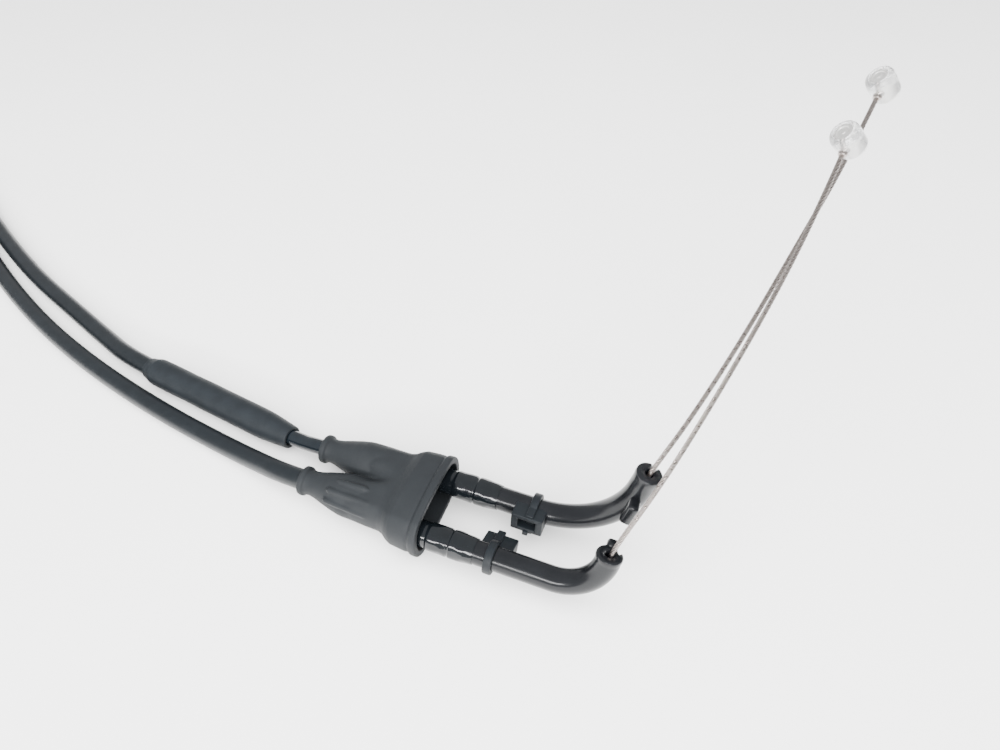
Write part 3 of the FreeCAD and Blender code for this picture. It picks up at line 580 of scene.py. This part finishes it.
def elbow(side):
    """Moulded elbow: bent tube with a notched tip, flange ring, windowed clip block, nub and fin."""
    sizes = ELBOW[side]
    line, heading, tip = elbow_line(sizes)
    run = [0.0]
    for a, b in zip(line, line[1:]):
        run.append(run[-1] + (b - a).length / MM)
    total = run[-1]
    outside, inside = [], []
    for at in run:
        left = total - at
        rim = 0.0
        if left < 0.5:
            rim = -0.5 + math.sqrt(max(0.0, 0.5 ** 2 - (0.5 - left) ** 2))
        bead = 0.12 if left < 1.5 else 0.0
        outside.append(TUBE_R + bead + rim)
        hole = HOLE_R if left < 1.7 else BORE_R
        if left < 0.4:
            hole += 0.3 * (1 - left / 0.4)
        inside.append(hole)
    tube = swept(side + "_elbow_tube", line, outside, inside, ELBOW_PLASTIC, 96)
    wire_way = WIRE_ROUTE[side][0] - TIP[side]
    notch(tube.data, tip * MM, heading, wire_way)
    parts = [finish_piece(tube, "root", side + "_elbow")]

    inner = sizes["inner"]
    reach = sizes["reach"]
    lean = math.radians(sizes["clip_roll"])
    clip_out = Vector((0, inner * math.cos(lean), math.sin(lean) if inner < 0 else -math.sin(lean)))
    clip_up = X.cross(clip_out) if inner > 0 else clip_out.cross(X)
    clip_axes = [X, clip_out, clip_up]
    axis = Vector((MOUTH_X, sizes["y"], AXIS_Z))

    def on_clip(along, out, up):
        return (axis + X * along + clip_out * out + clip_up * up) * MM

    block = soft_box(side + "_clip_block", on_clip(sizes["block"] + 4.4, reach / 2, 0), clip_axes,
                     (8.8, reach, 5.8), 0.3, MATTE_PLASTIC, window=(1, 5.0, 3.1, 3.6))
    parts.append(block)
    flange = lathe(side + "_flange", on_clip(sizes["flange"], 0, 0), X,
                   rounded([(0, 3.1), (0, 4.5), (2.2, 4.5), (2.2, 3.1)], 0.35, 4), MATTE_PLASTIC, 80)
    parts.append(flange)
    overhang = 0.7 if side == "return" else -0.3
    for place, up in (("top", 3.1), ("under", -3.1)):
        ledge = soft_box(side + "_flange_ledge_" + place,
                         on_clip(sizes["flange"] + 1.1, (reach + overhang) / 2, up), clip_axes,
                         (2.15, reach + overhang, 0.9), 0.25, MATTE_PLASTIC)
        parts.append(ledge)
    if side == "return":
        tab = soft_box(side + "_flange_tab", on_clip(sizes["flange"] + 1.1, reach + 0.2, 0), clip_axes,
                       (2.15, 1.0, 6.6), 0.25, MATTE_PLASTIC)
        parts.append(tab)
    nub = soft_box(side + "_nub", on_clip(sizes["block"] + 4.4, reach - 0.1, -2.9), clip_axes,
                   (1.5, 1.5, 1.5), 0.3, MATTE_PLASTIC)
    parts.append(nub)

    across = Vector((0, inner, 0))
    across = (across - heading * heading.dot(across)).normalized()
    fin_x = across.cross(heading)
    foot = tip - heading * sizes["fin_drop"] + across * 2.6
    fin_middle = (foot + across * (sizes["fin_reach"] / 2) + heading * (sizes["fin_length"] / 2)) * MM
    fin = soft_box(side + "_fin", fin_middle, [fin_x, across, heading],
                   (3.0, sizes["fin_reach"], sizes["fin_length"]), 0.9, ELBOW_PLASTIC)
    parts.append(fin)
    for piece in parts[1:]:
        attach(piece, "root")
        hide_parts(side + "_elbow")


# ---- collars ----------------------------------------------------------------------------------
COLLAR_IN_BOOT = 7.0


def collar(side):
    """Shiny sleeve crimped round the elbow's end: a step, pressed rings and a taper."""
    def pressed(distance, angle, radius):
        if radius < 3.5 or distance < 8:
            return 0.0
        dents = noise.noise(Vector((distance * 0.45, 2.2 * math.cos(angle), 2.2 * math.sin(angle))))
        return 0.03 * math.cos(6 * angle + 0.4) + 0.09 * dents - 0.03

    outside = rounded([(0, 2.9), (0, 3.6), (8.7, 3.6), (9.1, 3.88), (14.4, 3.96), (14.7, 3.74),
                       (15.2, 3.74), (15.5, 3.98), (18.2, 3.95), (19.6, 3.8), (22, 3.55), (22, 3.32)],
                      0.25, 4)
    seat = mm(MOUTH_X - COLLAR_IN_BOOT, ELBOW[side]["y"], AXIS_Z)
    piece = lathe(side + "_crimped_collar", seat, X, cut_fine(outside, 0.35), COLLAR_PLASTIC, 96, pressed)
    finish_piece(piece, "root", side + "_collar")


# ---- Y boot -----------------------------------------------------------------------------------
BOOT_LENGTH = 38.6
BOOT_WALL = 1.5
BOOT_VOXEL = 0.22
HOLLOW_VOXEL = 0.4
VALLEY_WIDTH = 2.0
BOOT_Y = -3.0
NECK_Y = -2.2
NECK_Z = 8.0
NECK_SPACING = 12.0
# distance from the mouth, half width, half height, depth of the valley between the two lobes
BOOT_SECTIONS = [(24.5, 11.3, 4.2, 0.85), (22.5, 11.7, 5.3, 0.76), (20.5, 11.9, 5.95, 0.62),
                 (18.5, 12.0, 6.2, 0.46), (16.5, 12.05, 6.35, 0.28), (14.5, 12.05, 6.45, 0.12),
                 (12.8, 12.1, 6.5, 0.02), (11.3, 12.6, 6.8, 0.0), (9.8, 13.7, 7.5, 0.0),
                 (8.4, 14.3, 8.05, 0.0), (5.0, 14.6, 8.25, 0.0), (3.2, 14.65, 8.3, 0.0),
                 (2.75, 14.35, 8.0, 0.0), (2.35, 14.5, 8.2, 0.0), (2.0, 15.05, 8.8, 0.0),
                 (0.3, 15.1, 8.9, 0.0), (0.0, 14.95, 8.75, 0.0)]
HOLLOW_SECTIONS = [(20.5, 11.9, 5.9, 0.75), (18.5, 12.0, 6.1, 0.6), (16.5, 12.05, 6.3, 0.42),
                   (14.5, 12.05, 6.4, 0.22), (12.0, 12.2, 6.6, 0.03), (8.0, 14.0, 7.85, 0.0),
                   (3.0, 14.6, 8.3, 0.0), (-1.5, 14.8, 8.5, 0.0)]


def boot_middle(back):
    """Middle of the boot's section at a distance behind the mouth."""
    share = back / BOOT_LENGTH
    return (MOUTH_X - back, BOOT_Y + (NECK_Y - BOOT_Y) * share, AXIS_Z + (NECK_Z - AXIS_Z) * share)


def boot_rings(shrink, sections, steps=120):
    """Closed shell through slot-shaped sections, with a valley between the lobes, all drawn in by
    shrink mm."""
    rings = []
    for back, half_width, half_height, valley in sections:
        x, y, z = boot_middle(back)
        w = half_width - shrink
        h = half_height - shrink
        reach = w - h
        ring = []
        for k in range(steps):
            angle = TAU * k / steps
            c, s = math.cos(angle), math.sin(angle)
            # blend between an ellipse and a slot for softly rounded sides
            slot_y = math.copysign(reach, c) * min(1, abs(c) * 1.8) + h * c
            slot_z = h * math.copysign(abs(s) ** 0.86, s)
            slot_z *= 1 - valley * math.exp(-(slot_y / VALLEY_WIDTH) ** 2)
            ring.append(mm(x, y + slot_y, z + slot_z))
        rings.append(ring)
    return skin(rings)


def joined(name, shells, material_used, voxel, smooth_rounds):
    """One skin round several overlapping closed shells."""
    vertices, faces = [], []
    for shell_vertices, shell_faces in shells:
        base = len(vertices)
        vertices += shell_vertices
        faces += [tuple(base + i for i in face) for face in shell_faces]
    piece = new_object(name, outward(mesh_from(name, vertices, faces)), material_used)
    remesh = piece.modifiers.new("one skin", "REMESH")
    remesh.mode = "VOXEL"
    remesh.voxel_size = voxel * MM
    remesh.use_smooth_shade = True
    if smooth_rounds:
        soften = piece.modifiers.new("soften", "SMOOTH")
        soften.factor = 0.5
        soften.iterations = smooth_rounds
    return piece


def settled(piece):
    """Apply the modifiers so that the mesh is final."""
    bpy.context.view_layer.update()
    graph = bpy.context.evaluated_depsgraph_get()
    mesh = bpy.data.meshes.new_from_object(piece.evaluated_get(graph))
    piece.modifiers.clear()
    old = piece.data
    piece.data = mesh
    bpy.data.meshes.remove(old)
    return piece


def turned_shell(start, direction, outline, steps=64):
    """Closed shell turned from an outline of (distance, radius) in mm."""
    side, up = axes_for(direction)
    return skin([ring_around(start + direction * (d * MM), side, up, r * MM, steps) for d, r in outline])


def boot():
    """Rubber Y boot: two ringed inlets that widen into a shared body with a flared, lipped mouth."""
    shells = [boot_rings(0.0, cut_fine(BOOT_SECTIONS, 0.5))]
    for end in (-1, 1):
        neck_y = NECK_Y + end * NECK_SPACING / 2
        neck = [(-0.9, 3.4), (-0.9, 4.05), (-0.6, 4.25), (0.5, 4.25), (0.85, 4.0), (0.95, 3.6), (2.6, 3.55),
                (4.2, 3.85), (7.0, 4.65), (10.0, 5.45), (12.6, 6.0), (14.0, 6.12), (19.0, 6.2), (24.0, 6.1)]
        shells.append(turned_shell(mm(MOUTH_X - BOOT_LENGTH, neck_y, NECK_Z), X, neck))
    # raised ribs along the return side's shoulder
    for angle, start, length in ((-64, 8.5, 15.0), (-32, 9.0, 15.0), (0, 11.0, 10.0)):
        a = math.radians(angle)
        at = Vector((MOUTH_X - BOOT_LENGTH + start, NECK_Y - NECK_SPACING / 2, NECK_Z))
        out = Vector((0, math.sin(a), math.cos(a)))
        begin = (at + out * 5.4) * MM
        end = (at + X * length + out * 6.35) * MM
        size = (end - begin).length / MM
        shells.append(turned_shell(begin, (end - begin).normalized(),
                                   [(0, 0.3), (0.8, 0.85), (size - 1.5, 0.9), (size, 0.3)], 16))
    outer = joined("y_boot_rubber", shells, BOOT_RUBBER, BOOT_VOXEL, 2)
    settled(outer)

    hollows = [boot_rings(BOOT_WALL, cut_fine(HOLLOW_SECTIONS, 0.8))]
    for end in (-1, 1):
        neck_y = NECK_Y + end * NECK_SPACING / 2
        bore = [(-2.5, 3.2), (3.0, 3.2), (4.5, 3.3), (13.5, 4.5), (20.0, 4.5)]
        hollows.append(turned_shell(mm(MOUTH_X - BOOT_LENGTH, neck_y, NECK_Z), X, bore))
    inner = joined("boot_hollow", hollows, None, HOLLOW_VOXEL, 2)
    settled(inner)
    take = outer.modifiers.new("hollow", "BOOLEAN")
    take.operation = "DIFFERENCE"
    take.solver = "EXACT"
    take.object = inner
    settled(outer)
    even_skin = outer.modifiers.new("even skin", "REMESH")
    even_skin.mode = "VOXEL"
    even_skin.voxel_size = BOOT_VOXEL * MM
    even_skin.use_smooth_shade = True
    soften = outer.modifiers.new("soften", "SMOOTH")
    soften.factor = 0.5
    soften.iterations = 2
    settled(outer)
    bpy.data.objects.remove(inner)
    finish_piece(outer, "root", "y_boot")


# ---- adjuster sleeve and stem -------------------------------------------------------------------
SLEEVE_START = mm(-84.1, 14.0, 4.85)
SLEEVE_WAY = Vector((math.cos(math.radians(-8.1)), math.sin(math.radians(-8.1)), 0))


def in_sleeve(distance):
    """Point on the adjuster sleeve's axis, in mm from its start."""
    return SLEEVE_START + SLEEVE_WAY * (distance * MM)


def adjuster_sleeve():
    """Rubber sleeve pulled over the adjuster, a little uneven where the parts inside press on it."""
    def uneven(distance, angle, radius):
        if radius < 3.4:
            return 0.0
        wave = noise.noise(Vector((distance * 0.16, math.cos(angle) * 0.8, math.sin(angle) * 0.8)))
        over_nut = math.exp(-((distance - 26.3) / 3.0) ** 2)
        beside_nut = math.exp(-((distance - 18) / 5) ** 2)
        return 0.025 * wave + (0.05 * over_nut - 0.05 * beside_nut)

    outside = rounded([(0, 3.15), (0, 3.55), (1.0, 3.7), (3.6, 4.52), (8.0, 4.62), (30.0, 4.6),
                       (47.0, 4.62), (50.5, 4.5), (56.0, 3.95), (59.0, 3.62), (60.0, 3.5), (60.0, 2.75)],
                      0.35, 4)
    inside = [(58.5, 2.7), (50.0, 4.05), (3.5, 4.05), (1.0, 3.16)]
    piece = lathe("adjuster_rubber_sleeve", SLEEVE_START, SLEEVE_WAY, cut_fine(outside, 0.8) + inside,
                  SLEEVE_RUBBER, 80, uneven)
    finish_piece(piece, "root", "adjuster_sleeve")


def stem():
    """Thin shiny conduit from the adjuster to the boot and the collar inside it."""
    points = [in_sleeve(44.5), in_sleeve(62.0), mm(-12.5, 3.8, 8.0), mm(6.0, 4.1, 8.3), mm(13.5, 4.9, 8.6),
              mm(20.4, 5.4, 8.9)]
    piece = spline_curve("pull_stem_conduit", points, 2.3 * MM, STEM)
    finish_piece(piece, "root", "pull_stem")


# ---- far ends -----------------------------------------------------------------------------------
FERRULE_Z = 6.55
FERRULE_AT = {"pull": mm(-235.0, -37.7, FERRULE_Z), "return": mm(-210.0, -20.7, FERRULE_Z)}
THREAD_PITCH = 1.25


def far_ferrule(side):
    """Steel end fitting: crimped cup, shoulder, M8 thread, relief and plain nose."""
    def threaded(distance, angle, radius):
        on_thread = 15.2 < distance < 31.4 or 32.8 < distance < 39.8
        if radius > 3.7 and radius < 4.05 and on_thread:
            share = (distance / THREAD_PITCH - angle / TAU) % 1.0
            return -0.62 * abs(2 * share - 1)
        if radius > 4.1 and distance < 11 and 3 < distance < 9:
            return -0.18 * max(0.0, math.cos(6 * angle)) ** 2
        return 0.0

    outline = rounded([(0.0, 3.02), (0.0, 4.0), (0.4, 4.2), (11.9, 4.2), (12.0, 5.0), (12.3, 5.2),
                       (14.7, 5.2), (15.0, 4.9), (15.0, 4.0)], 0.2, 3)
    for a, b in ((15.05, 31.5), (32.7, 39.9)):
        steps = round((b - a) / 0.125)
        outline += [(a + (b - a) * i / steps, 4.0) for i in range(steps + 1)]
        outline.append((b + 0.1, 3.55))
        if b < 35:
            outline.append((32.6, 3.55))
    outline += [(40.0, 3.55), (40.05, 3.0), (43.7, 3.0), (44.0, 2.7), (44.0, 1.4), (8.0, 1.4), (7.9, 3.02)]
    piece = lathe(side + "_threaded_ferrule", FERRULE_AT[side], X, outline, ZINC, 64, threaded)
    return finish_piece(piece, "root", side + "_far_ferrule")


def hex_nut(side, which, at):
    """Thin jam nut, 13 mm across its flats, with rounded corners."""
    def six_flats(distance, angle, radius):
        if radius < 4.6:
            return 0.0
        turn = angle % math.radians(60) - math.radians(30)
        return min(0.0, 6.5 / math.cos(turn) - radius)

    outline = [(0.0, 4.3), (0.0, 6.3), (0.15, 6.6), (0.45, 7.1), (0.75, 7.45), (3.25, 7.45), (3.55, 7.1),
               (3.85, 6.6), (4.0, 6.3), (4.0, 4.3), (3.75, 4.06), (0.25, 4.06)]
    place = FERRULE_AT[side] + X * (at * MM)
    piece = lathe(side + "_" + which + "_nut", place, X, outline, ZINC, 120, six_flats)
    sharp_by_angle(piece, 25)
    return finish_piece(piece, side + "_nut_" + which, "%s_%s_jam_nut" % (side, which))


def sharp_by_angle(piece, degrees):
    """Keep the edges crisp that turn by more than the angle."""
    work = bmesh.new()
    work.from_mesh(piece.data)
    for edge in work.edges:
        if len(edge.link_faces) == 2:
            edge.smooth = edge.calc_face_angle(0) < math.radians(degrees)
    work.to_mesh(piece.data)
    work.free()


def dust_seal(side):
    """Tapered rubber cap where the wire leaves the far ferrule."""
    outline = rounded([(0.0, 3.06), (0.0, 3.8), (1.0, 3.8), (1.3, 3.5), (1.8, 3.5), (2.1, 3.8), (4.2, 3.75),
                       (5.2, 3.0), (6.4, 2.2), (7.2, 1.9), (7.2, 1.0)], 0.25, 3)
    outline += [(4.3, 1.0), (4.2, 3.06)]
    piece = lathe(side + "_rubber_seal", FERRULE_AT[side] + X * (40.1 * MM), X, outline, SEAL_RUBBER, 56)
    return finish_piece(piece, "root", side + "_dust_seal")


def far_end(side):
    """Sliding wire with its barrel nipple at the carburettor end."""
    body = side + "_far_end"
    start = FERRULE_AT[side] + X * (8.5 * MM)
    points = [start, start + X * (20 * MM), start + X * (41 * MM), start + X * (62 * MM)]
    rod, _ = stranded(side + "_far_strands", points, STRAND)
    finish_piece(rod, body, side + "_far_wire")
    middle = start + X * ((62 + 2.77) * MM)
    nipple_line = rounded([(-2.75, 0.01), (-2.75, 2.4), (-2.45, 2.75), (2.45, 2.75), (2.75, 2.4),
                           (2.75, 0.01)], 0.2, 3)
    nipple = lathe(side + "_nipple", middle, Vector((0, 1, 0)), nipple_line, ZINC, 64)
    finish_piece(nipple, body, side + "_far_nipple")
    return [rod, nipple]


def coil_tie():
    """Plastic strap round the coil's section, with its lock."""
    low, high = 0.8, 13.2
    heading = math.radians(150)
    out = Vector((math.cos(heading), math.sin(heading), 0))
    along = Vector((-out.y, out.x, 0))
    gap = 0.05
    near, far = 27.2 - gap, 55.4 + gap
    bottom, top = low - gap, high + gap
    radius = 1.4
    corners = [(near + radius, bottom + radius, 180), (far - radius, bottom + radius, 270),
               (far - radius, top - radius, 0), (near + radius, top - radius, 90)]
    path = []
    for r, z, first in corners:
        for i in range(7):
            a = math.radians(first + 90 * i / 6)
            path.append((r, z, math.cos(a), math.sin(a)))
    rings = []
    for r, z, c, s in path:
        ring = []
        for width, thick in ((-4.2, 0.0), (-4.5, 0.3), (-4.2, 0.6), (4.2, 0.6), (4.5, 0.3), (4.2, 0.0)):
            reach = radius + thick
            ring.append(COIL_MIDDLE + out * ((r + c * reach) * MM) + Vector((0, 0, (z + s * reach) * MM))
                        + along * (width * MM))
        rings.append(ring)
    vertices, faces = skin(rings, closed_loop=True)
    mesh = outward(mesh_from("coil_strap", vertices, faces, smooth=False))
    strap = new_object("coil_strap", mesh, TIE_PLASTIC)
    finish_piece(strap, "root", "coil_tie")
    lock = soft_box("coil_strap_lock", COIL_MIDDLE + out * (41 * MM) + mm(0, 0, top + 1.6), [out, along,
                    Vector((0, 0, 1))], (8.5, 10.5, 2.6), 0.5, TIE_PLASTIC)
    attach(lock, "root")


for side_name in ("pull", "return"):
    elbow(side_name)
    collar(side_name)
boot()
adjuster_sleeve()
stem()
coil_tie()

# CAD nodes that keep their own meshes
KEPT = {"conduit_end_cap": ZINC, "adjuster_screw": ZINC, "adjuster_lock_nut": ZINC, "adjuster_body": ZINC,
        "return_end_ferrule": COLLAR_PLASTIC, "pull_elbow_liner": LINER, "return_elbow_liner": LINER}
for node, finish_used in KEPT.items():
    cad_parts[node].data.materials.clear()
    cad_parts[node].data.materials.append(finish_used)


def line_length(piece):
    """Length of a conduit along its middle."""
    guide = piece.copy()
    guide.data = piece.data.copy()
    guide.data.bevel_depth = 0
    bpy.context.scene.collection.objects.link(guide)
    bpy.context.view_layer.update()
    mesh = bpy.data.meshes.new_from_object(guide)
    total = sum((b.co - a.co).length for a, b in zip(mesh.vertices, list(mesh.vertices)[1:]))
    bpy.data.objects.remove(guide)
    bpy.data.meshes.remove(mesh)
    return total


NUTS = {"inner": 16.0, "outer": 27.0}
for side_name, housing in (("pull", pull_housing), ("return", return_housing)):
    fittings = [far_ferrule(side_name)]
    fittings += [hex_nut(side_name, which, at) for which, at in NUTS.items()]
    fittings.append(dust_seal(side_name))
    fittings += far_end(side_name)
    line_length(housing)
for side_name in ("pull", "return"):
    wire, line = wires[side_name]
    cross_barrel(side_name)


# ---- floor and light ----------------------------------------------------------------------------
FLOOR_HALF = 3.0


def floor():
    """White table top under the cable."""
    corners = [Vector((x, y, 0)) * FLOOR_HALF for x, y in ((-1, -1), (1, -1), (1, 1), (-1, 1))]
    mesh = mesh_from("floor", corners, [(0, 1, 2, 3)])
    ground = material("floor_paint", (0.90, 0.90, 0.895), 0.55, specular=0.2, mottle=0.012, mottle_scale=12,
                      rough_spread=0.05)
    piece = new_object("floor", mesh, ground)


def area_light(name, place, target, width, height, power):
    """White rectangular lamp that faces its target."""
    data = bpy.data.lights.new(name, "AREA")
    data.shape = "RECTANGLE"
    data.size = width
    data.size_y = height
    data.energy = power
    lamp = bpy.data.objects.new(name, data)
    lamp.location = place
    lamp.rotation_euler = (place - target).to_track_quat("Z", "Y").to_euler()
    bpy.context.scene.collection.objects.link(lamp)
    return lamp


floor()
overhead = area_light("overhead", Vector((0.1, -0.3, 0.75)), Vector((0.02, 0.0, 0)), 1.4, 1.2, 50.0)
overhead.visible_glossy = False
area_light("window", Vector((0.15, -0.8, 0.42)), Vector((0.03, 0.0, 0)), 0.9, 0.10, 12.0)
world = bpy.data.worlds.new("room")
world.use_nodes = True
sky = world.node_tree.nodes["Background"]
sky.inputs["Color"].default_value = (0.98, 0.985, 1.0, 1)
sky.inputs["Strength"].default_value = 0.85
bpy.context.scene.world = world
